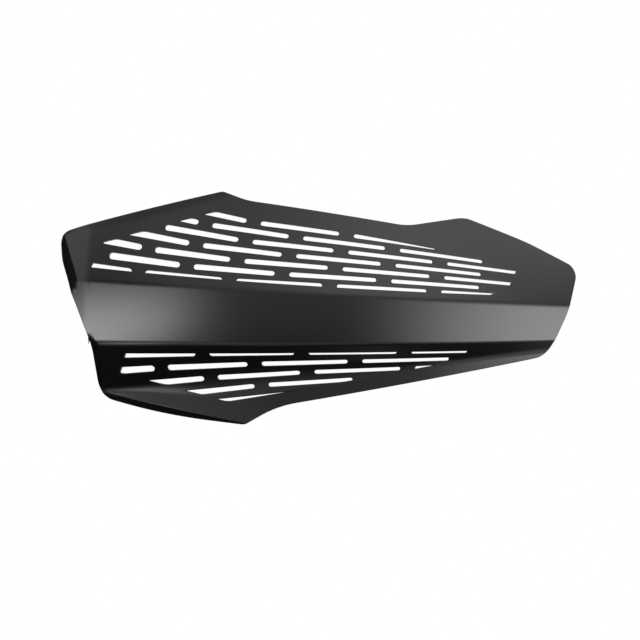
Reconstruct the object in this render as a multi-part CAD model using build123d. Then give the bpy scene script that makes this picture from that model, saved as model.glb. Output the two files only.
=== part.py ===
from build123d import *
import os
from math import acos, atan2, cos, hypot, pi, sin, sqrt

# Hand guard shield for a motorcycle, moulded in one piece.
# X runs along the shield towards its narrow inner end, Y from front to back, Z up.
# The origin lies midway between the two screw bosses, on the plane of their faces.

# Driving dimensions, in millimetres

WALL = 2.8                      # thickness of the moulding
BOW_RADIUS = 190.0              # radius of the bow at its foremost line, x = 0
FRONT_DEPTH = 16.0              # from the foremost line of the band back to the boss faces

# Band across the middle, between two creases
BAND_TOP = 10.7                 # upper crease above the origin at x = 0
BAND_TOP_RISE = 0.052           # climb of the upper crease towards the outer end
BAND_TOP_RADIUS = 5500.0        # and its gentle upward curve
BAND_FOOT = 10.7                # lower crease below the origin
CROWN_RADIUS = 180.0            # the band is a little round from crease to crease
UPPER_LEAN = 0.50               # how far the upper panel goes back for each mm up
LOWER_LEAN = 0.95               # how far the lower panel goes back for each mm down
LIP_LEAN = 0.20                 # the same for the lip along the bottom
LIP_TOP = 22.5                  # the lip's upper line below the origin at x = 0
LIP_TOP_RISE = 0.0916           # climb of that line towards the inner end
UPPER_CREASE_RADIUS = 6.0
LOWER_CREASE_RADIUS = 5.0
LIP_RADIUS = 18.0
SHARPEST = 1 / 8                # share of a crease's radius that stays inside a wall as thick as the radius

# Outline from the front: x, z and corner radius, clockwise from the outer top corner
OUTLINE = (
    (-174.6, 48.0, 7.5),
    (-80.4, 65.6, 4.5),
    (-67.6, 60.1, 40.0),
    (11.7, 46.1, 30.0),
    (40.6, 50.8, 14.0),
    (72.2, 38.6, 150.0),
    (98.6, 25.6, 7.0),
    (91.4, 4.2, 80.0),
    (80.3, -17.85, 12.0),
    (-52.0, -42.7, 55.0),
    (-68.8, -52.7, 5.5),
    (-112.0, -49.3, 380.0),
    (-150.6, -41.4, 11.0),
    (-150.9, -11.5, 30.0),
    (-172.7, 35.25, 36.0),
)
OUTER_TOP, PEAK = OUTLINE[0], OUTLINE[1]
TIP, OUTER_FOOT, OUTER_KNEE = OUTLINE[10], OUTLINE[12], OUTLINE[13]

# Turn of the skin near the outer end, bevels along that end and along the bottom of the outer half,
# and a soft roll under the top edge
TURN_X = -153.5                 # outward of this line the skin turns further back
TURN_DROP = 0.20                # by this much for each mm
BEVEL_DROP = 0.72               # extra depth of a bevel for each mm towards the edge
BEVEL_TOP = 1.6                 # width of a bevel at the outer top corner
BEVEL_BAND = 4.2                # where it meets the band
BEVEL_FOOT = 3.4                # at the outer bottom corner
BEVEL_TIP = 1.4                 # at the bottom tip
ROLL_WIDTH = 5.0
ROLL_DROP = 0.20
ROLL_RADIUS = 24.0

# Slots: broken rows that fan out from a point beyond the inner end
FAN_X = 252.0                   # the point that the rows point at
UPPER_FAN_Z, LOWER_FAN_Z = 1.26, -13.25
UPPER_FLARE_X, LOWER_FLARE_X = -47.4, -22.0     # outward of this line the rows spread faster
UPPER_FLARE, LOWER_FLARE = 0.0083, 0.0099
UPPER_TAPER, LOWER_TAPER = 0.0085, 0.0076       # slot width for each mm from the fan point
UPPER_FIRST, UPPER_STEP, UPPER_ROWS = 0.1490, -0.01587, 7
LOWER_FIRST, LOWER_STEP, LOWER_ROWS = -0.0086, -0.01677, 5
UPPER_BRIDGE_X, LOWER_BRIDGE_X = 28.9, 9.5      # the bridge nearest the inner end, in the first row
UPPER_DRIFT, LOWER_DRIFT = -0.88, 1.05          # its shift from row to row
UPPER_PITCH, LOWER_PITCH = 47.3, 49.4           # from bridge to bridge in the first row
UPPER_GROWTH, LOWER_GROWTH = 0.52, -0.35        # change of the pitch from row to row
UPPER_SHRINK, LOWER_SHRINK = 0.9, 0.0           # and from bridge to bridge, towards the outer end
BRIDGE = 7.1                    # solid web between the ends of two slots
UPPER_BRIDGES = (3, 3, 4, 3, 4, 4, 4)           # bridges in each row
LOWER_BRIDGES = (3, 3, 3, 2, 2)
END_FLATS = 6                   # flats that make up the round end of a slot
UPPER_END_X = 80.0              # the rows end here at the latest
LOWER_END_X = 40.2
SMALLEST_SLOT = 3.0             # smaller remains of a slot are left out, in square mm

# Fields that trim the slots, by their corners; the crease closes each one
UPPER_FIELD_TOP = ((-145.0, 40.9), (-82.4, 55.1), (67.0, 26.7), (61.6, 16.8))
UPPER_FIELD_FOOT = (-151.6, 51.4)
UPPER_FIELD_GAPS = (7.0, 3.8, 3.8)      # above the crease at the outer end, in the middle, at the inner end
LOWER_FIELD_FOOT = ((-136.0, -27.8), (-77.5, -41.2), (44.0, -18.3))
LOWER_FIELD_HEAD = (-131.0, 44.0)
LOWER_FIELD_GAPS = (6.4, 4.15)          # below the crease at the outer end and at the inner end

# Screw bosses and ribs behind the band
BOSS_SPACING = 50.0
BOSS_DIAMETER = 12.0
SCREW_HOLE_DIAMETER = 4.2       # for a self-tapping screw
SCREW_HOLE_DEPTH = 11.0
RIB_THICKNESS = 2.0
RIB_HEIGHT = 6.0
RIB_OVERHANG = 30.0             # the long rib runs on past each boss
GUSSET_REACH = 12.0             # the short ribs run up and down from each boss

# Block of space that the skin is cut from
BLOCK_X = (-185.0, 110.0)
BLOCK_Z = (-65.0, 78.0)
BLOCK_BACK = 600.0


# Heights of the skin, as the depth y of each face over the front view

def bow(x):
    return x * x / (2 * BOW_RADIUS) - FRONT_DEPTH


def upper_crease(x):
    return BAND_TOP - BAND_TOP_RISE * x + x * x / (2 * BAND_TOP_RADIUS)


def lip_line(x):
    return LIP_TOP_RISE * x - LIP_TOP


def band(x, z):
    return bow(x) + z * z / (2 * CROWN_RADIUS)


def upper(x, z):
    return band(x, upper_crease(x)) + UPPER_LEAN * (z - upper_crease(x))


def lower(x, z):
    return band(x, -BAND_FOOT) - LOWER_LEAN * (BAND_FOOT + z)


def lip(x, z):
    return lower(x, lip_line(x)) + LIP_LEAN * (lip_line(x) - z)


def beyond(start, end, start_inset, end_inset):
    """Distance outward from a line that runs inside an edge of the outline, by the two insets."""
    run_x, run_z = end[0] - start[0], end[1] - start[1]
    length = hypot(run_x, run_z)
    out_x, out_z = -run_z / length, run_x / length

    def distance(x, z):
        along = ((x - start[0]) * run_x + (z - start[1]) * run_z) / length
        inset = start_inset + (end_inset - start_inset) * along / length
        return (x - start[0]) * out_x + (z - start[1]) * out_z + inset

    return distance


roll_line = beyond(OUTER_TOP, PEAK, ROLL_WIDTH, ROLL_WIDTH)
upper_end_line = beyond(OUTER_KNEE, OUTER_TOP, BEVEL_BAND, BEVEL_TOP)
lower_end_line = beyond(OUTER_FOOT, OUTER_KNEE, BEVEL_FOOT, BEVEL_BAND)
bottom_line = beyond(TIP, OUTER_FOOT, BEVEL_TIP, BEVEL_FOOT)


def roll(x, z):
    return upper(x, z) + ROLL_DROP * roll_line(x, z)


def turned(face):
    """The face turned further back near the outer end."""
    return lambda x, z: face(x, z) + TURN_DROP * (TURN_X - x)


def dropped(face, line):
    """The face turned further back beyond a line, as a bevel."""
    return lambda x, z: face(x, z) + BEVEL_DROP * line(x, z)


# Solids

def ordinates(start, middle, end):
    """Control values of the parabola through three evenly spaced values."""
    return start, 2 * middle - (start + end) / 2, end


def behind(face, depth=0.0):
    """All of the block that lies behind a face, or behind the same face set back by a depth."""
    xs = (BLOCK_X[0], sum(BLOCK_X) / 2, BLOCK_X[1])
    zs = (BLOCK_Z[0], sum(BLOCK_Z) / 2, BLOCK_Z[1])

    def set_back(x, z):
        slope_x = (face(x + 1, z) - face(x - 1, z)) / 2
        slope_z = (face(x, z + 1) - face(x, z - 1)) / 2
        return face(x, z) + depth * sqrt(1 + slope_x ** 2 + slope_z ** 2)

    rows = [ordinates(*(set_back(x, z) for z in zs)) for x in xs]
    columns = [ordinates(*column) for column in zip(*rows)]
    points = [[Vector(x, columns[j][i], z) for j, z in enumerate(zs)] for i, x in enumerate(xs)]
    return extrude(Face.make_bezier_surface(points), BLOCK_BACK, dir=(0, 1, 0))


def nearest_edge(solid, x, y, z):
    return solid.edges().sort_by_distance(Vector(x, y, z))[0]


def roll_middle(depth):
    """A point on the line where the roll starts, halfway along the top edge."""
    x, z = (OUTER_TOP[0] + PEAK[0]) / 2, (OUTER_TOP[1] + PEAK[1]) / 2
    z -= roll_line(x, z)
    return x, upper(x, z) + depth, z


def inner_radius(radius, depth):
    return max(radius - depth, radius * SHARPEST)


def behind_skin(depth=0.0):
    """The space behind the whole skin, with its creases rounded."""
    foot = behind(lower, depth) + behind(lip, depth)
    foot = fillet(nearest_edge(foot, 0, lip(0, lip_line(0)) + depth, lip_line(0)), LIP_RADIUS + depth)
    top = behind(upper, depth) & behind(roll, depth)
    top = fillet(nearest_edge(top, *roll_middle(depth)), ROLL_RADIUS)
    skin = behind(band, depth) & top & foot
    upper_edge = nearest_edge(skin, 0, upper(0, upper_crease(0)) + depth, upper_crease(0))
    skin = fillet(upper_edge, inner_radius(UPPER_CREASE_RADIUS, depth))
    lower_edge = nearest_edge(skin, 0, lower(0, -BAND_FOOT) + depth, -BAND_FOOT)
    skin = fillet(lower_edge, inner_radius(LOWER_CREASE_RADIUS, depth))
    return skin & behind(turned(band), depth) & behind(turned(upper), depth)


def beveled(solid):
    """Bevels along the outer end and along the bottom of the outer half."""
    upper_end = behind(dropped(turned(upper), upper_end_line))
    lower_end = behind(dropped(lower, lower_end_line)) + behind(dropped(lip, lower_end_line))
    bottom = behind(dropped(lip, bottom_line))
    return solid & upper_end & lower_end & bottom


def through(sketch):
    """A sketch of the front view, pushed through the whole block."""
    return extrude(Plane.XZ * sketch, BLOCK_BACK, both=True)


def outline_face():
    points = [(x, z) for x, z, radius in OUTLINE]
    return make_face(FilletPolyline(*points, radius=[corner[2] for corner in OUTLINE], close=True))


# Slots

def fan_reach(x, flare_x, flare):
    """Distance from the fan point, which grows faster where the rows flare."""
    return FAN_X - x + flare * max(0.0, flare_x - x) ** 2


def slot(outer, outer_r, inner, inner_r):
    """A slot between two centres, with sides tangent to its round ends, each end drawn as a few flats."""
    run = inner - outer
    heading = atan2(run.Y, run.X)
    spread = acos((outer_r - inner_r) / run.length)

    def end(centre, radius, start, stop):
        turns = [start + (stop - start) * flat / END_FLATS for flat in range(END_FLATS + 1)]
        return [centre + Vector(cos(turn), sin(turn)) * radius for turn in turns]

    outer_end = end(outer, outer_r, heading + spread, heading + 2 * pi - spread)
    inner_end = end(inner, inner_r, heading - spread, heading + spread)
    return make_face(Polyline(*outer_end, *inner_end, close=True))


def upper_field():
    """The part of the upper panel that has slots, above a curve that follows the crease."""
    outer_x, inner_x = UPPER_FIELD_FOOT
    xs = (outer_x, (outer_x + inner_x) / 2, inner_x)
    heights = ordinates(*(upper_crease(x) + gap for x, gap in zip(xs, UPPER_FIELD_GAPS)))
    foot = list(zip(xs, heights))
    return make_face([Polyline(foot[0], *UPPER_FIELD_TOP, foot[2]), Bezier(*foot)])


def lower_field():
    """The part of the lower panel that has slots."""
    head = [(x, -BAND_FOOT - gap) for x, gap in zip(LOWER_FIELD_HEAD, LOWER_FIELD_GAPS)]
    return make_face(Polyline(head[0], *LOWER_FIELD_FOOT, head[1], close=True))


def slot_rows(field, fan_z, flare_x, flare, taper, first, step, rows,
              bridges, bridge_x, drift, pitch, growth, shrink, end_x):
    """Rows of slots, each second row shifted by half a pitch, trimmed by the field.

    Past its last bridge a row runs on out of the field.
    """
    slots = []
    for row in range(rows):
        def bridge(place):
            place += (row % 2) / 2
            return bridge_x + drift * row - (pitch + growth * row) * place + shrink * place ** 2 / 2

        def slot_end(x, side):
            radius = taper * fan_reach(x, flare_x, flare) / 2
            x += side * radius
            return Vector(x, fan_z + (first + step * row) * fan_reach(x, flare_x, flare)), radius

        for place in range(bridges[row] + 1):
            inner_x = min(bridge(place - 1) - BRIDGE / 2, end_x)
            outer_side = 1 if place < bridges[row] else -1
            outer_x = bridge(place) + outer_side * BRIDGE / 2
            trimmed = slot(*slot_end(outer_x, 1), *slot_end(inner_x, -1)) & field
            slots += [face for face in trimmed.faces() if face.area > SMALLEST_SLOT]
    return slots


# Bosses and ribs

def boss_places():
    return Locations((-BOSS_SPACING / 2, 0), (BOSS_SPACING / 2, 0))


def forward(sketch, length):
    """A sketch of the front view, pushed forward from the plane of the boss faces."""
    return extrude(Plane.XZ * sketch, length)


outer_space = behind_skin()
shell = (beveled(outer_space) - behind_skin(WALL)) & through(outline_face())

bosses = forward(Sketch() + [place * Circle(BOSS_DIAMETER / 2) for place in boss_places()], 2 * FRONT_DEPTH)
holes = [place * Circle(SCREW_HOLE_DIAMETER / 2) for place in boss_places()]
gussets = [place * Rectangle(RIB_THICKNESS, 2 * GUSSET_REACH) for place in boss_places()]
long_rib = Rectangle(BOSS_SPACING + 2 * RIB_OVERHANG, RIB_THICKNESS)
ribs = through(long_rib + gussets) - behind(band, WALL + RIB_HEIGHT)
shield = shell + ((bosses + ribs) & outer_space)
shield -= forward(Sketch() + holes, SCREW_HOLE_DEPTH)

slots = slot_rows(
    upper_field(), UPPER_FAN_Z, UPPER_FLARE_X, UPPER_FLARE, UPPER_TAPER, UPPER_FIRST, UPPER_STEP, UPPER_ROWS,
    UPPER_BRIDGES, UPPER_BRIDGE_X, UPPER_DRIFT, UPPER_PITCH, UPPER_GROWTH, UPPER_SHRINK, UPPER_END_X,
) + slot_rows(
    lower_field(), LOWER_FAN_Z, LOWER_FLARE_X, LOWER_FLARE, LOWER_TAPER, LOWER_FIRST, LOWER_STEP, LOWER_ROWS,
    LOWER_BRIDGES, LOWER_BRIDGE_X, LOWER_DRIFT, LOWER_PITCH, LOWER_GROWTH, LOWER_SHRINK, LOWER_END_X,
)
print(len(slots), "slots")
shield -= [through(face) for face in slots]

os.makedirs("parts", exist_ok=True)
export_step(shield, "parts/shield.step")
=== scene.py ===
from math import asin, atan2, cos, degrees, exp, hypot, pi, radians, sin, sqrt

import bmesh
import bpy
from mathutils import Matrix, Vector


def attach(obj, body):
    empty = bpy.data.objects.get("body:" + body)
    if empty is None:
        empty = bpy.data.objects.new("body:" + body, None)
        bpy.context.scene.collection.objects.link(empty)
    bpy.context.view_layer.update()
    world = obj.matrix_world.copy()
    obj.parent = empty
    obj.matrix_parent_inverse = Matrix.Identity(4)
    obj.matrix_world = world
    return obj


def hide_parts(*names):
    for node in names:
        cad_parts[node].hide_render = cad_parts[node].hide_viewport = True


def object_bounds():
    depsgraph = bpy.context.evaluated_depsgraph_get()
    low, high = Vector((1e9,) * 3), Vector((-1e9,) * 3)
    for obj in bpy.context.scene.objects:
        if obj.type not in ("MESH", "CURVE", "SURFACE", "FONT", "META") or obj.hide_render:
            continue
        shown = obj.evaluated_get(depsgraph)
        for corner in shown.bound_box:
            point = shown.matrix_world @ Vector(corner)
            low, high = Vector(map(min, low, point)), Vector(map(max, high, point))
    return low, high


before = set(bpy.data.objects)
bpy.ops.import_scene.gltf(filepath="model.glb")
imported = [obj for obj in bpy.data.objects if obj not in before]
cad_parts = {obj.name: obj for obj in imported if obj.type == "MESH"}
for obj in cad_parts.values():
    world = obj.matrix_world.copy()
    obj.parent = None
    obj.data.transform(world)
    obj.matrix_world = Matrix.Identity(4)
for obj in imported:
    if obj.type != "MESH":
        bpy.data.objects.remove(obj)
cad_low, cad_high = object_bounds()

MM = 0.001                      # lengths below are in millimetres unless they say otherwise

# Skin of the shield: the depth y of its front over the front view x, z
WALL = 2.8                      # thickness of the moulding
BOW_RADIUS = 190.0              # bow of the shield at its foremost line, x = 0
FRONT_DEPTH = 16.0              # from the foremost line of the band back to the boss faces
BAND_TOP, BAND_TOP_RISE, BAND_TOP_RADIUS = 10.7, 0.052, 5500.0
BAND_FOOT, BAND_FOOT_RISE, BAND_FOOT_RADIUS = 11.35, 0.0125, 10000.0
CROWN_RADIUS = 180.0            # the band is a little round from crease to crease
UPPER_LEAN, LOWER_LEAN, LIP_LEAN = 0.43, 0.95, 0.20
UPPER_RADIUS = 380.0            # the upper panel is a little round too
LIP_TOP, LIP_TOP_RISE = 22.98, 0.10
TURN_X, TURN_DROP = -153.5, 0.20    # outward of this line the skin turns further back

# Half widths of the rounding along the creases, where those of the bevels are measured by depth
UPPER_EASE, TURN_EASE, ROLL_EASE = 1.4, 2.0, 2.4
LOWER_EASE_OUTER, LOWER_EASE_INNER = 2.0, 0.35
LOWER_EASE_SPAN = (-150.0, 90.0)        # the lower crease gets sharper from the first x to the second
LIP_EASE, LIP_EASE_WIDEST = 1.4, 8.8    # the lip starts softly, and most so in the outer half
LIP_SOFT_X, LIP_SOFT_OUTER, LIP_SOFT_INNER = -70.0, 44.0, 68.0
BEVEL_EASE, LOWER_BEVEL_EASE = 0.25, 1.2

# Corners of the outline that carry the bevels and the roll, and the sizes of those
OUTER_TOP, PEAK = (-174.6, 48.0), (-80.4, 65.6)
TIP, OUTER_FOOT, OUTER_KNEE = (-68.8, -52.7), (-150.6, -41.4), (-150.9, -11.5)
ROLL_WIDTH, ROLL_DROP = 5.0, 0.28
BEVEL_DROP, UPPER_BEVEL_DROP = 0.72, 0.95
BEVEL_TOP, UPPER_BEVEL_BAND = 3.0, 6.2
BEVEL_PEAK = -15.0              # along the top edge the bevel thins out on the way to the peak
BEVEL_END_LEAN = 0.95           # on the band the bevel runs out to the edge
LOWER_BEVEL_BAND, BEVEL_FOOT, BEVEL_TIP = 4.2, 3.0, 0.9

# Edges and slots
EDGE_ROUND, EDGE_STEPS = 0.30, 1        # radius of the moulding's edges
EDGE_WALL = 1.0                 # the least depth of wall behind a bevel
OUTER_SWELL, SWELL_X = 0.9, -145.0      # the outer edge, outward of this x, stands out a little
SWELL_SPAN = (10.0, 19.0, 31.0, 40.0)   # it starts, is full, fades and ends at these heights
SLOT_NARROWING = 0.88           # the moulding's draft closes the slots a little
SHARP_TURN = radians(48)        # a slot keeps corners that turn more than this
CORNER_CUT = 0.25               # the others are cut back by this share of their shorter side

# Mesh
WELD = 1e-6                     # in metres
SLIVER = 1e-9                   # in square metres
EDGE_WELD = 0.05                # shorter edges of the outline are dropped
SMALLEST_LOOP = 4               # a loop of fewer points is left over from a sliver
WALL_NORMAL = -0.02             # a face that looks less to the front than this isn't part of the front
FLUSH = 0.001                   # a point this near to a flat face lies on it
SMOOTH_ANGLE = radians(40)
GRID, LIP_GRID, CREASE_GRID = 4.0, 2.0, 0.7     # spacing of the cuts that let the plate bend
UPPER_CREASE_SPAN = (6.0, 25.0)         # heights between which the level cuts are finest
LOWER_CREASE_SPAN = (-15.5, -6.5)       # here the cuts follow the crease
CREASE_STEP, CREASE_REACH = 0.35, 8     # their spacing, and how many lie to each side of it
BEVEL_CUTS = (-1.0, -0.4, 0.0, 0.4, 1.0)        # along each bevel, by distance from its line
RUN_OUT_CUTS = (-1.2, -0.8, -0.4, 0.0, 0.4, 0.8, 1.2)   # where the lower bevel runs out, by depth

# Bosses and ribs behind the band
BOSS_SPACING, BOSS_RADIUS, BOSS_SIDES = 50.0, 6.0, 48
HOLE_RADIUS, HOLE_DEPTH, HOLE_CHAMFER = 2.1, 11.0, 0.5
RIB_THICKNESS, RIB_HEIGHT, RIB_OVERHANG, GUSSET_REACH = 2.0, 6.0, 30.0, 12.0
RIB_ROUND, RIB_ROUND_STEPS = 0.4, 2     # rounding of the ribs' and the bosses' top edges
BOSS_FLAT = 40.0                # height of a boss while the plate is flat, well above the ribs
NEAR_TOP = 1.0                  # what lies this near to the top of a rib or a boss belongs to it
FACING_BACK = 0.9               # a face that looks back by more than this is the flat top

# Camera, on the photograph's viewing axis
VIEW_ANGLE = radians(28)
CAMERA_X, CAMERA_Y = -30.875, -625.64
CLIP_START, CLIP_END = 0.01, 20.0       # in metres

# Plastic
DEEP_BLACK, SOFT_BLACK = 0.0038, 0.0054
PLASTIC_ROUGHNESS, CLOUD_ROUGHNESS = 0.265, 0.05
PLASTIC_IOR = 1.5
CLOUD_SCALE, GRAIN_SCALE = 30.0, 1400.0     # to the metre
CLOUD_DETAIL, GRAIN_DETAIL = 3.0, 1.0
NOISE_MIDDLE = 0.5
GRAIN_HEIGHT, GRAIN_STRENGTH = 0.004, 0.6

# Studio, in metres, with directions in degrees: to the right of the camera's axis, and up
FLOOR_LEVEL, FLOOR_RADIUS, FLOOR_SIDES = -0.25, 5.0, 96
FLOOR_PALE = 0.86
FLOOR_FADE = (0.26, 0.37)       # the floor fades to white between these distances from the object
TENT_RADIUS, TENT_SEGMENTS, TENT_RINGS = 6.0, 96, 48
TENT_OPENING = (-165, 140, 20, 65)      # it is open past the first two across, between the others up
SOFT_BOXES = {                  # level, edges across, edges up, and tilt about a middle
    "left": (7.6, (-110, -99, -77, -49), (-11, -6, -3.5, 13.5), 0.2, -82),
    "right": (6.2, (-10, 55, 65, 106), (-28, -8, 3, 25), 0, 0),
    "right glow": (1.2, (62, 86, 110, 130), (25, 38, 55, 70), 0, 0),
    "left strip": (3.3, (-102, -88, -80, -67), (-38, -29, -27, -21), 0.2, -83),
    "left rim": (0.70, (-124, -114, -106, -92), (3, 14, 26, 40), 0, 0),
    "low right": (1.15, (0, 36, 84, 122), (-63, -47, -20, 0), 0, 0),
    "low left": (0.36, (-90, -66, -58, -42), (-56, -26, -18, -8), 0, 0),
    "low front": (0.62, (-75, -52, 0, 15), (-74, -36, -25, -15), 0, 0),
    "front": (0.52, (-80, -60, 60, 80), (-20, 6, 22, 38), 0, 0),
    "dim ceiling": (0.28, (-300, -200, 200, 300), (24, 43, 72, 95), 0.05, 0),
    "left ceiling": (0.54, (-104, -82, 200, 300), (25, 42, 72, 95), 0.05, 0),
    "right ceiling": (0.92, (-70, 20, 30, 140), (20, 45, 72, 95), 0.09, 0),
    "back left": (1.0, (-300, -200, -168, -150), (-95, -82, -25, 5), 0, 0),
    "back right": (1.0, (128, 146, 200, 300), (-95, -82, -25, 5), 0, 0),
}
WORLD_FILL = 0.6
LAMP_PLACE, LAMP_SIZE, LAMP_POWER = (-0.2, -0.5, 1.6), 1.2, 13.0


def bow(x):
    return x * x / (2 * BOW_RADIUS) - FRONT_DEPTH


def upper_crease(x):
    return BAND_TOP - BAND_TOP_RISE * x + x * x / (2 * BAND_TOP_RADIUS)


def lip_line(x):
    return LIP_TOP_RISE * x - LIP_TOP


def lower_crease(x):
    return BAND_FOOT_RISE * x - BAND_FOOT + x * x / (2 * BAND_FOOT_RADIUS)


def share(value, low, high):
    """How far a value has come from low to high, from 0 to 1."""
    return min(max((value - low) / (high - low), 0), 1)


def soft_share(value, low, high):
    """The same with soft ends."""
    even = share(value, low, high)
    return even * even * (3 - 2 * even)


def lower_ease(x):
    """Half width of the rounding along the lower crease."""
    return LOWER_EASE_OUTER + (LOWER_EASE_INNER - LOWER_EASE_OUTER) * share(x, *LOWER_EASE_SPAN)


def eased(distance, width):
    """The distance past a crease, or 0 before it, with a parabola over the width on each side."""
    if distance <= -width:
        return 0.0
    if distance >= width:
        return distance
    return (distance + width) ** 2 / (4 * width)


def beyond(start, end, start_inset, end_inset):
    """Distance outward from a line that runs inside an edge of the outline, by the two insets."""
    run_x, run_z = end[0] - start[0], end[1] - start[1]
    length = hypot(run_x, run_z)

    def distance(x, z):
        along = ((x - start[0]) * run_x + (z - start[1]) * run_z) / length
        inset = start_inset + (end_inset - start_inset) * along / length
        return (z - start[1]) * run_x / length - (x - start[0]) * run_z / length + inset

    return distance


roll_line = beyond(OUTER_TOP, PEAK, ROLL_WIDTH, ROLL_WIDTH)
top_line = beyond(OUTER_TOP, PEAK, BEVEL_TOP, BEVEL_PEAK)
upper_end_line = beyond(OUTER_KNEE, OUTER_TOP, UPPER_BEVEL_BAND, BEVEL_TOP)
lower_end_line = beyond(OUTER_FOOT, OUTER_KNEE, BEVEL_FOOT, LOWER_BEVEL_BAND)
bottom_line = beyond(TIP, OUTER_FOOT, BEVEL_TIP, BEVEL_FOOT)


def lower_run_out(x, z):
    """How far the lower outer bevel lies behind the band, where it runs out on it."""
    return LOWER_LEAN * (lower_crease(x) - z) + BEVEL_DROP * lower_end_line(x, z)


def crown(z):
    return z * z / (2 * CROWN_RADIUS)


def band(x, z):
    """Depth of the band, which goes on straight above and below its creases."""
    edge = min(max(z, lower_crease(x)), upper_crease(x))
    return bow(x) + crown(edge) + (z - edge) * edge / CROWN_RADIUS


def upper_panel(x, z):
    """How far the upper panel lies behind the end of the band."""
    rise = z - upper_crease(x)
    return UPPER_LEAN * rise + max(rise, 0) ** 2 / (2 * UPPER_RADIUS)


def lip(x, z):
    """How far the lip keeps before the course of the lower panel, as a negative depth."""
    reach = LIP_SOFT_OUTER if x < LIP_SOFT_X else LIP_SOFT_INNER
    soft = exp(-((x - LIP_SOFT_X) / reach) ** 2)
    ease = LIP_EASE + (LIP_EASE_WIDEST - LIP_EASE) * soft
    return (LIP_LEAN - LOWER_LEAN) * eased(lip_line(x) - z, ease)


def plain_skin(x, z):
    """Depth of the skin without its bevels."""
    top, foot = upper_crease(x), lower_crease(x)
    rise = eased(z - top, UPPER_EASE)
    upper = (UPPER_LEAN - top / CROWN_RADIUS) * rise + rise ** 2 / (2 * UPPER_RADIUS)
    lower = (LOWER_LEAN + foot / CROWN_RADIUS) * eased(foot - z, lower_ease(x))
    roll = ROLL_DROP * eased(roll_line(x, z), ROLL_EASE)
    turn = TURN_DROP * eased(TURN_X - x, TURN_EASE)
    return band(x, z) + upper + lower + lip(x, z) + hypot(roll, turn)


def front_skin(x, z):
    """Depth of the skin with the bevels along the outer end and the bottom."""
    depth = plain_skin(x, z)
    top, foot = upper_crease(x), lower_crease(x)
    upper = bow(x) + crown(top) + upper_panel(x, z) + TURN_DROP * (TURN_X - x)
    upper += (BEVEL_END_LEAN - UPPER_LEAN) * min(z - top, 0)
    lower = bow(x) + crown(foot) + LOWER_LEAN * (foot - z) + lip(x, z)
    bevels = (
        (upper + UPPER_BEVEL_DROP * top_line(x, z), BEVEL_EASE),
        (upper + UPPER_BEVEL_DROP * upper_end_line(x, z), BEVEL_EASE),
        (lower + BEVEL_DROP * lower_end_line(x, z), LOWER_BEVEL_EASE),
        (lower + BEVEL_DROP * bottom_line(x, z), BEVEL_EASE),
    )
    for bevel, ease in bevels:
        depth += eased(bevel - depth, ease)
    return depth


def slopes(skin, x, z):
    """Change of a depth, or of a distance, for each mm along x and along z."""
    step = 0.05
    slope_x = (skin(x + step, z) - skin(x - step, z)) / (2 * step)
    slope_z = (skin(x, z + step) - skin(x, z - step)) / (2 * step)
    return slope_x, slope_z


def back_skin(x, z):
    """Depth of the back of the wall, which is as thick as WALL across the skin."""
    slope_x, slope_z = slopes(plain_skin, x, z)
    return plain_skin(x, z) + WALL * sqrt(1 + slope_x ** 2 + slope_z ** 2)


# Modelling

def only(piece):
    bpy.ops.object.select_all(action="DESELECT")
    piece.select_set(True)
    bpy.context.view_layer.objects.active = piece


def editing(mode="VERT"):
    bpy.ops.object.mode_set(mode="EDIT")
    bpy.ops.mesh.select_mode(type=mode)
    bpy.ops.mesh.select_all(action="SELECT")


def done_editing():
    bpy.ops.object.mode_set(mode="OBJECT")


def slot_loop(points):
    """A slot's outline, a little narrower and with rounder ends."""
    middle = sum(points, Vector((0, 0))) / len(points)
    arms = [point - middle for point in points]
    skew = 2 * sum(arm.x * arm.y for arm in arms)
    along = 0.5 * atan2(skew, sum(arm.x ** 2 - arm.y ** 2 for arm in arms))
    across = Vector((-sin(along), cos(along)))
    points = [middle + arm - across * arm.dot(across) * (1 - SLOT_NARROWING) for arm in arms]
    rounded = []
    for before, point, after in zip(points[-1:] + points[:-1], points, points[1:] + points[:1]):
        arrives, leaves = point - before, after - point
        if arrives.angle(leaves) > SHARP_TURN:
            rounded.append(point)
        else:
            cut = min(arrives.length, leaves.length) * CORNER_CUT
            rounded += [point - arrives.normalized() * cut, point + leaves.normalized() * cut]
    return rounded


def outer_loop(points):
    """The shield's outline, a little fuller beside the upper bevel."""
    start, full, fading, end = (level * MM for level in SWELL_SPAN)
    fuller = []
    for point in points:
        swell = soft_share(point.y, start, full) * (1 - soft_share(point.y, fading, end))
        out = OUTER_SWELL * MM * swell if point.x < SWELL_X * MM else 0
        fuller.append(Vector((point.x - out, point.y)))
    return fuller


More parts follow.
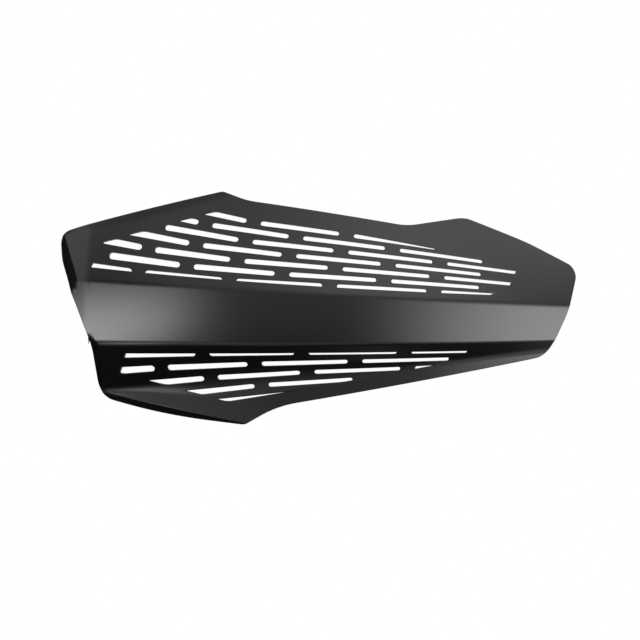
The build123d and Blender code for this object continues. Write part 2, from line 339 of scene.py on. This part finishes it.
def rim_curve(node):
    """The outline of the shield and of its slots, as a flat curve taken from the front of the solid."""
    rim = node.copy()
    rim.data = node.data.copy()
    rim.name = "moulded_shield"
    bpy.context.scene.collection.objects.link(rim)
    only(rim)
    editing("FACE")
    bpy.ops.mesh.remove_doubles(threshold=WELD)
    bpy.ops.mesh.select_all(action="DESELECT")
    done_editing()
    for face in rim.data.polygons:
        face.select = face.normal.y > WALL_NORMAL and face.area > SLIVER
    bpy.ops.object.mode_set(mode="EDIT")
    bpy.ops.mesh.delete(type="FACE")
    bpy.ops.mesh.select_all(action="SELECT")
    bpy.ops.mesh.region_to_loop()
    bpy.ops.mesh.select_mode(type="EDGE")
    bpy.ops.mesh.select_all(action="INVERT")
    bpy.ops.mesh.delete(type="EDGE")
    bpy.ops.mesh.select_all(action="SELECT")
    bpy.ops.mesh.delete_loose(use_verts=True, use_edges=False, use_faces=False)
    bpy.ops.mesh.remove_doubles(threshold=EDGE_WELD * MM)
    done_editing()
    for vertex in rim.data.vertices:
        vertex.co = (vertex.co.x, vertex.co.z, 0)
    bpy.ops.object.convert(target="CURVE")
    rim = bpy.context.object
    loops = [[point.co.xy for point in loop.points] for loop in rim.data.splines]
    loops = [loop for loop in loops if len(loop) >= SMALLEST_LOOP]
    outer = max(loops, key=lambda loop: max(point.x for point in loop) - min(point.x for point in loop))
    rim.data.splines.clear()
    for loop in loops:
        points = outer_loop(loop) if loop is outer else slot_loop(loop)
        spline = rim.data.splines.new("POLY")
        spline.points.add(len(points) - 1)
        spline.use_cyclic_u = True
        for point, place in zip(spline.points, points):
            point.co = (place.x, place.y, 0, 1)
    return rim


def flat_plate(rim):
    """The shield as a flat plate with its slots and rounded edges, front at y = 0 and back at y = WALL."""
    only(rim)
    rim.data.dimensions = "2D"
    rim.data.fill_mode = "BOTH"
    rim.data.extrude = (WALL / 2 - EDGE_ROUND) * MM
    rim.data.bevel_depth = EDGE_ROUND * MM
    rim.data.bevel_resolution = EDGE_STEPS
    rim.data.offset = -EDGE_ROUND * MM
    bpy.ops.object.convert(target="MESH")
    plate = bpy.context.object
    plate.rotation_mode = "XYZ"
    plate.rotation_euler = (pi / 2, 0, 0)
    plate.location = (0, WALL / 2 * MM, 0)
    bpy.ops.object.transform_apply(location=True, rotation=True, scale=True)
    editing()
    bpy.ops.mesh.remove_doubles(threshold=WELD)
    bpy.ops.mesh.normals_make_consistent(inside=False)
    done_editing()
    return plate


def rib(length, thickness):
    """A rib on the back of the flat plate, rounded along its top."""
    bpy.ops.object.select_all(action="DESELECT")
    top, foot = WALL + RIB_HEIGHT, WALL / 2
    bpy.ops.mesh.primitive_cube_add(size=MM, location=(0, (top + foot) / 2 * MM, 0))
    piece = bpy.context.object
    piece.scale = (length, top - foot, thickness)
    bpy.ops.object.transform_apply(location=True, rotation=True, scale=True)
    editing("EDGE")
    bpy.ops.mesh.select_all(action="DESELECT")
    done_editing()
    for edge in piece.data.edges:
        ends = [piece.data.vertices[i].co.y for i in edge.vertices]
        edge.select = min(ends) > (top - NEAR_TOP) * MM
    bpy.ops.object.mode_set(mode="EDIT")
    bpy.ops.mesh.bevel(offset=RIB_ROUND * MM, segments=RIB_ROUND_STEPS, affect="EDGES")
    done_editing()
    return piece


def boss():
    """A screw boss on the back of the flat plate, with its blind hole."""
    bpy.ops.object.select_all(action="DESELECT")
    top, foot = BOSS_FLAT, WALL / 2
    bpy.ops.mesh.primitive_cylinder_add(
        vertices=BOSS_SIDES, radius=BOSS_RADIUS * MM, depth=(top - foot) * MM,
        location=(0, (top + foot) / 2 * MM, 0), rotation=(-pi / 2, 0, 0),
    )
    piece = bpy.context.object
    bpy.ops.object.transform_apply(location=True, rotation=True, scale=True)
    editing("FACE")
    bpy.ops.mesh.select_all(action="DESELECT")
    done_editing()
    for face in piece.data.polygons:
        face.select = face.center.y > (top - NEAR_TOP) * MM
    bpy.ops.object.mode_set(mode="EDIT")
    bpy.ops.mesh.bevel(offset=RIB_ROUND * MM, segments=RIB_ROUND_STEPS, affect="EDGES")
    done_editing()
    for face in piece.data.polygons:
        face.select = face.center.y > (top - FLUSH) * MM and face.normal.y > FACING_BACK
    bpy.ops.object.mode_set(mode="EDIT")
    bpy.ops.mesh.inset(thickness=(BOSS_RADIUS - RIB_ROUND - HOLE_RADIUS - HOLE_CHAMFER) * MM)
    bpy.ops.mesh.extrude_region_move(TRANSFORM_OT_translate={"value": (0, -HOLE_CHAMFER * MM, 0)})
    narrowing = HOLE_RADIUS / (HOLE_RADIUS + HOLE_CHAMFER)
    bpy.ops.transform.resize(value=(narrowing, 1, narrowing))
    depth = HOLE_DEPTH - HOLE_CHAMFER
    bpy.ops.mesh.extrude_region_move(TRANSFORM_OT_translate={"value": (0, -depth * MM, 0)})
    done_editing()
    return piece


def placed(piece, x):
    """Moves a piece along the plate."""
    for vertex in piece.data.vertices:
        vertex.co.x += x * MM
    return piece


def joined_to(plate, pieces):
    """Fuses the pieces to the plate."""
    for piece in pieces:
        only(plate)
        fuse = plate.modifiers.new("fuse", "BOOLEAN")
        fuse.operation = "UNION"
        fuse.solver = "EXACT"
        fuse.object = piece
        bpy.ops.object.modifier_apply(modifier=fuse.name)
        bpy.data.objects.remove(piece)


def spread(low, high, step):
    """Places from low to high, evenly apart by about a step."""
    count = max(1, round((high - low) / step))
    return [low + (high - low) * i / count for i in range(count + 1)]


def put_in_order(mesh):
    """Sorts a mesh by place, because fusing leaves it in another order each time."""

    def sort(parts, key):
        for i, part in enumerate(sorted(parts, key=key)):
            part.index = i
        parts.sort()

    sort(mesh.verts, lambda vertex: vertex.co[:])
    for parts in (mesh.edges, mesh.faces):
        sort(parts, lambda part: sorted(vertex.index for vertex in part.verts))


def gridded(plate):
    """Cuts the plate into a grid, finer along the creases and the bevels, so that it can bend."""
    low_x, high_x = cad_low.x / MM, cad_high.x / MM
    low_z, high_z = cad_low.z / MM, cad_high.z / MM
    levels = (
        spread(low_z, LOWER_CREASE_SPAN[0], LIP_GRID)
        + spread(LOWER_CREASE_SPAN[1], UPPER_CREASE_SPAN[0], GRID)
        + spread(*UPPER_CREASE_SPAN, CREASE_GRID)
        + spread(UPPER_CREASE_SPAN[1], high_z, GRID)
    )
    cuts = [((x, 0), (1, 0)) for x in spread(low_x, high_x, GRID)[1:-1]]
    cuts += [((x, 0), (1, 0)) for x in spread(TURN_X - TURN_EASE, TURN_X + TURN_EASE, CREASE_GRID)]
    cuts += [((0, z), (0, 1)) for z in sorted(set(levels))[1:-1]]
    edges = (roll_line, top_line, upper_end_line, lower_end_line, bottom_line)
    along = [i * CREASE_STEP for i in range(-CREASE_REACH, CREASE_REACH + 1)]
    lines = [(line, BEVEL_CUTS) for line in edges]
    lines += [(lambda x, z: lower_crease(x) - z, along), (lower_run_out, RUN_OUT_CUTS)]
    for line, shifts in lines:
        across = Vector(slopes(line, 0, 0))
        for shift in shifts:
            cuts.append((across * (shift - line(0, 0)) / across.length_squared, across))
    mesh = bmesh.new()
    mesh.from_mesh(plate.data)
    put_in_order(mesh)
    for point, normal in cuts:
        bmesh.ops.bisect_plane(
            mesh, geom=[*mesh.verts, *mesh.edges, *mesh.faces], dist=WELD,
            plane_co=(point[0] * MM, 0, point[1] * MM), plane_no=(normal[0], 0, normal[1]),
        )
    bmesh.ops.remove_doubles(mesh, verts=mesh.verts, dist=WELD)
    mesh.to_mesh(plate.data)
    mesh.free()


def bent(plate):
    """Moves each point back to the skin, and gives the front and the back the normals of their curves."""
    mesh = plate.data
    skins = []
    for vertex in mesh.vertices:
        x, flat, z = vertex.co / MM
        front = front_skin(x, z)
        back = max(back_skin(x, z), front + EDGE_WALL)
        skins.append(front_skin if flat < FLUSH else back_skin if abs(flat - WALL) < FLUSH else None)
        if flat <= WALL:
            depth = front + (back - front) * flat / WALL
        elif flat < BOSS_FLAT / 2:
            depth = back + flat - WALL
        else:
            depth = flat - BOSS_FLAT
        vertex.co.y = depth * MM
    only(plate)
    bpy.ops.object.shade_smooth_by_angle(angle=SMOOTH_ANGLE)
    normals = [corner.vector.copy() for corner in mesh.corner_normals]
    curves = {}
    for face in mesh.polygons:
        sides = {skins[i] for i in face.vertices}
        if len(sides) > 1 or None in sides:
            continue
        for loop, i in zip(face.loop_indices, face.vertices):
            if i not in curves:
                slope_x, slope_z = slopes(skins[i], mesh.vertices[i].co.x / MM, mesh.vertices[i].co.z / MM)
                curves[i] = Vector((slope_x, -1, slope_z)).normalized()
            normals[loop] = curves[i] if skins[i] is front_skin else -curves[i]
    mesh.normals_split_custom_set(normals)


def shield():
    """The moulding, made flat with its ribs and bosses and then bent."""
    plate = flat_plate(rim_curve(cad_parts["shield"]))
    half = BOSS_SPACING / 2
    gussets = [placed(rib(RIB_THICKNESS, 2 * GUSSET_REACH), x) for x in (-half, half)]
    bosses = [placed(boss(), x) for x in (-half, half)]
    joined_to(plate, [rib(BOSS_SPACING + 2 * RIB_OVERHANG, RIB_THICKNESS)] + gussets + bosses)
    gridded(plate)
    bent(plate)
    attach(plate, "root")
    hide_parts("shield")
    return plate


moulding = shield()


# Shader graphs

MIX_FACTOR, MIX_FIRST, MIX_SECOND, MIX_RESULT = 0, 6, 7, 2      # sockets of a Mix node for colours


class Socket:
    """A socket in a shader's graph that works in Python expressions."""

    def __init__(self, tree, socket=None):
        self.tree = tree
        self.socket = socket

    def node(self, kind, settings=None, sockets=None, output=0):
        """Adds a node: its settings first, then the values or links of its sockets."""
        made = self.tree.nodes.new(kind)
        for name, setting in (settings or {}).items():
            setattr(made, name, setting)
        for name, value in (sockets or {}).items():
            if isinstance(value, Socket):
                self.tree.links.new(value.socket, made.inputs[name])
            else:
                made.inputs[name].default_value = value
        return Socket(self.tree, made.outputs[output] if made.outputs else None)

    def beside(self, output):
        """Another output of the same node."""
        return Socket(self.tree, self.socket.node.outputs[output])

    def math(self, operation, first, second=0.0):
        return self.node("ShaderNodeMath", {"operation": operation}, {0: first, 1: second})

    def __add__(self, other):
        return self.math("ADD", self, other)

    def __sub__(self, other):
        return self.math("SUBTRACT", self, other)

    def __rsub__(self, other):
        return self.math("SUBTRACT", other, self)

    def __mul__(self, other):
        return self.math("MULTIPLY", self, other)

    __radd__ = __add__
    __rmul__ = __mul__

    def rise(self, low, high):
        """From 0 at low to 1 at high, with soft ends."""
        return self.node(
            "ShaderNodeMapRange", {"interpolation_type": "SMOOTHSTEP"},
            {"Value": self, "From Min": low, "From Max": high},
        )

    def window(self, start, full, fading, end):
        """1 from full to fading, and 0 before start and after end."""
        return self.rise(start, full) * (1 - self.rise(fading, end))

    def mixed(self, low, high):
        """A grey between two, by this share."""
        return self.node(
            "ShaderNodeMix", {"data_type": "RGBA"},
            {MIX_FACTOR: self, MIX_FIRST: grey(low), MIX_SECOND: grey(high)}, MIX_RESULT,
        )


def grey(level):
    return (level, level, level, 1)


def emptied(owner):
    """The graph of a material or of the world, without its nodes."""
    owner.use_nodes = True
    owner.node_tree.nodes.clear()
    return Socket(owner.node_tree)


def seen_plainly(graph):
    """1 for what the camera sees, also in a reflection or through something clear."""
    path = graph.node("ShaderNodeLightPath", output="Is Camera Ray")
    rays = path + path.beside("Is Glossy Ray") + path.beside("Is Transmission Ray")
    return graph.math("MINIMUM", rays, 1.0)


def black_plastic():
    """Satin black as moulded: a fine even grain, and a little cloudiness in its black and its gloss."""
    made = bpy.data.materials.new("black_plastic")
    graph = emptied(made)
    place = graph.node("ShaderNodeTexCoord", output="Object")
    clouds = graph.node("ShaderNodeTexNoise", sockets={
        "Vector": place, "Scale": CLOUD_SCALE, "Detail": CLOUD_DETAIL,
    })
    grain = graph.node("ShaderNodeTexNoise", sockets={
        "Vector": place, "Scale": GRAIN_SCALE, "Detail": GRAIN_DETAIL,
    })
    raised = graph.node("ShaderNodeBump", sockets={
        "Height": grain, "Strength": GRAIN_STRENGTH, "Distance": GRAIN_HEIGHT * MM,
    })
    plastic = graph.node("ShaderNodeBsdfPrincipled", sockets={
        "Base Color": clouds.mixed(DEEP_BLACK, SOFT_BLACK),
        "Roughness": PLASTIC_ROUGHNESS + CLOUD_ROUGHNESS * (clouds - NOISE_MIDDLE),
        "IOR": PLASTIC_IOR,
        "Normal": raised,
    })
    graph.node("ShaderNodeOutputMaterial", sockets={"Surface": plastic})
    return made


def tent_cloth():
    """A dark tent with soft boxes of light in it, placed by their direction from the object."""
    made = bpy.data.materials.new("tent_cloth")
    graph = emptied(made)
    place = graph.node("ShaderNodeTexCoord", output="Object")
    direction = graph.node("ShaderNodeVectorMath", {"operation": "NORMALIZE"}, {0: place})
    right = graph.node("ShaderNodeSeparateXYZ", sockets={0: direction})
    across = degrees(1) * graph.math("ARCTAN2", right, -1 * right.beside("Y"))
    up = degrees(1) * graph.math("ARCSINE", right.beside("Z"))
    light = 0.0
    for level, edges_across, edges_up, tilt, middle in SOFT_BOXES.values():
        light += level * across.window(*edges_across) * (up - tilt * (across - middle)).window(*edges_up)
    cloth = graph.node("ShaderNodeEmission", sockets={"Color": light})
    graph.node("ShaderNodeOutputMaterial", sockets={"Surface": cloth})
    return made


def pale_floor():
    """A pale floor that holds the shadow near the object and is white further off."""
    made = bpy.data.materials.new("pale_floor")
    graph = emptied(made)
    place = graph.node("ShaderNodeTexCoord", output="Object")
    distance = graph.node("ShaderNodeVectorMath", {"operation": "LENGTH"}, {0: place}, output="Value")
    paper = graph.node("ShaderNodeBsdfDiffuse", sockets={"Color": grey(FLOOR_PALE)})
    white = graph.node("ShaderNodeEmission", sockets={"Color": grey(1)})
    far = distance.rise(*FLOOR_FADE) * seen_plainly(graph)
    floor = graph.node("ShaderNodeMixShader", sockets={0: far, 1: paper, 2: white})
    graph.node("ShaderNodeOutputMaterial", sockets={"Surface": floor})
    return made


def white_room():
    """White to the camera, and an even grey light from all round."""
    world = bpy.data.worlds.new("white_room")
    graph = emptied(world)
    seen = seen_plainly(graph)
    sky = graph.node("ShaderNodeBackground", sockets={"Color": seen.mixed(WORLD_FILL, 1.0)})
    graph.node("ShaderNodeOutputWorld", sockets={"Surface": sky})
    return world


def wear(piece, finish):
    """Gives a piece its one material."""
    piece.data.materials.clear()
    piece.data.materials.append(finish)


wear(moulding, black_plastic())


# Studio

def only_for(piece, *rays):
    """The piece is seen by rays of these kinds alone."""
    for ray in ("camera", "diffuse", "glossy", "transmission", "volume_scatter", "shadow"):
        setattr(piece, "visible_" + ray, ray in rays)


def tent():
    """A dome around the object and the camera, open behind the object and seen in reflections alone."""
    bpy.ops.object.select_all(action="DESELECT")
    bpy.ops.mesh.primitive_uv_sphere_add(
        segments=TENT_SEGMENTS, ring_count=TENT_RINGS, radius=TENT_RADIUS,
    )
    dome = bpy.context.object
    dome.name = "tent"
    dome.location = (CAMERA_X * MM, 0, 0)
    editing("FACE")
    bpy.ops.mesh.select_all(action="DESELECT")
    done_editing()
    left, right, low, high = TENT_OPENING
    for face in dome.data.polygons:
        across = degrees(atan2(face.center.x, -face.center.y))
        up = degrees(asin(face.center.z / face.center.length))
        face.select = low < up < high and not left < across < right
    bpy.ops.object.mode_set(mode="EDIT")
    bpy.ops.mesh.delete(type="FACE")
    done_editing()
    wear(dome, tent_cloth())
    only_for(dome, "glossy")


def floor():
    bpy.ops.object.select_all(action="DESELECT")
    bpy.ops.mesh.primitive_circle_add(
        vertices=FLOOR_SIDES, radius=FLOOR_RADIUS, fill_type="NGON",
        location=(CAMERA_X * MM, 0, FLOOR_LEVEL),
    )
    disc = bpy.context.object
    disc.name = "floor"
    wear(disc, pale_floor())
    only_for(disc, "camera", "diffuse", "transmission", "shadow")


def looking(name, kind, place, target):
    """A camera or a lamp at a place, turned to its target."""
    piece = bpy.data.objects.new(name, kind)
    bpy.context.scene.collection.objects.link(piece)
    piece.location = place
    piece.rotation_euler = (Vector(target) - Vector(place)).to_track_quat("-Z", "Y").to_euler()
    return piece


def camera():
    lens = bpy.data.cameras.new("camera")
    lens.angle = VIEW_ANGLE
    lens.clip_start, lens.clip_end = CLIP_START, CLIP_END
    place = Vector((CAMERA_X, CAMERA_Y, 0)) * MM
    return looking("camera", lens, place, place + Vector((0, 1, 0)))


def overhead_lamp():
    light = bpy.data.lights.new("overhead_lamp", "AREA")
    light.shape = "DISK"
    light.size = LAMP_SIZE
    light.energy = LAMP_POWER
    lamp = looking("overhead_lamp", light, LAMP_PLACE, (CAMERA_X * MM, 0, 0))
    lamp.visible_glossy = False


tent()
floor()
overhead_lamp()
bpy.context.scene.camera = camera()
bpy.context.scene.world = white_room()
bpy.context.scene.view_settings.view_transform = "Standard"
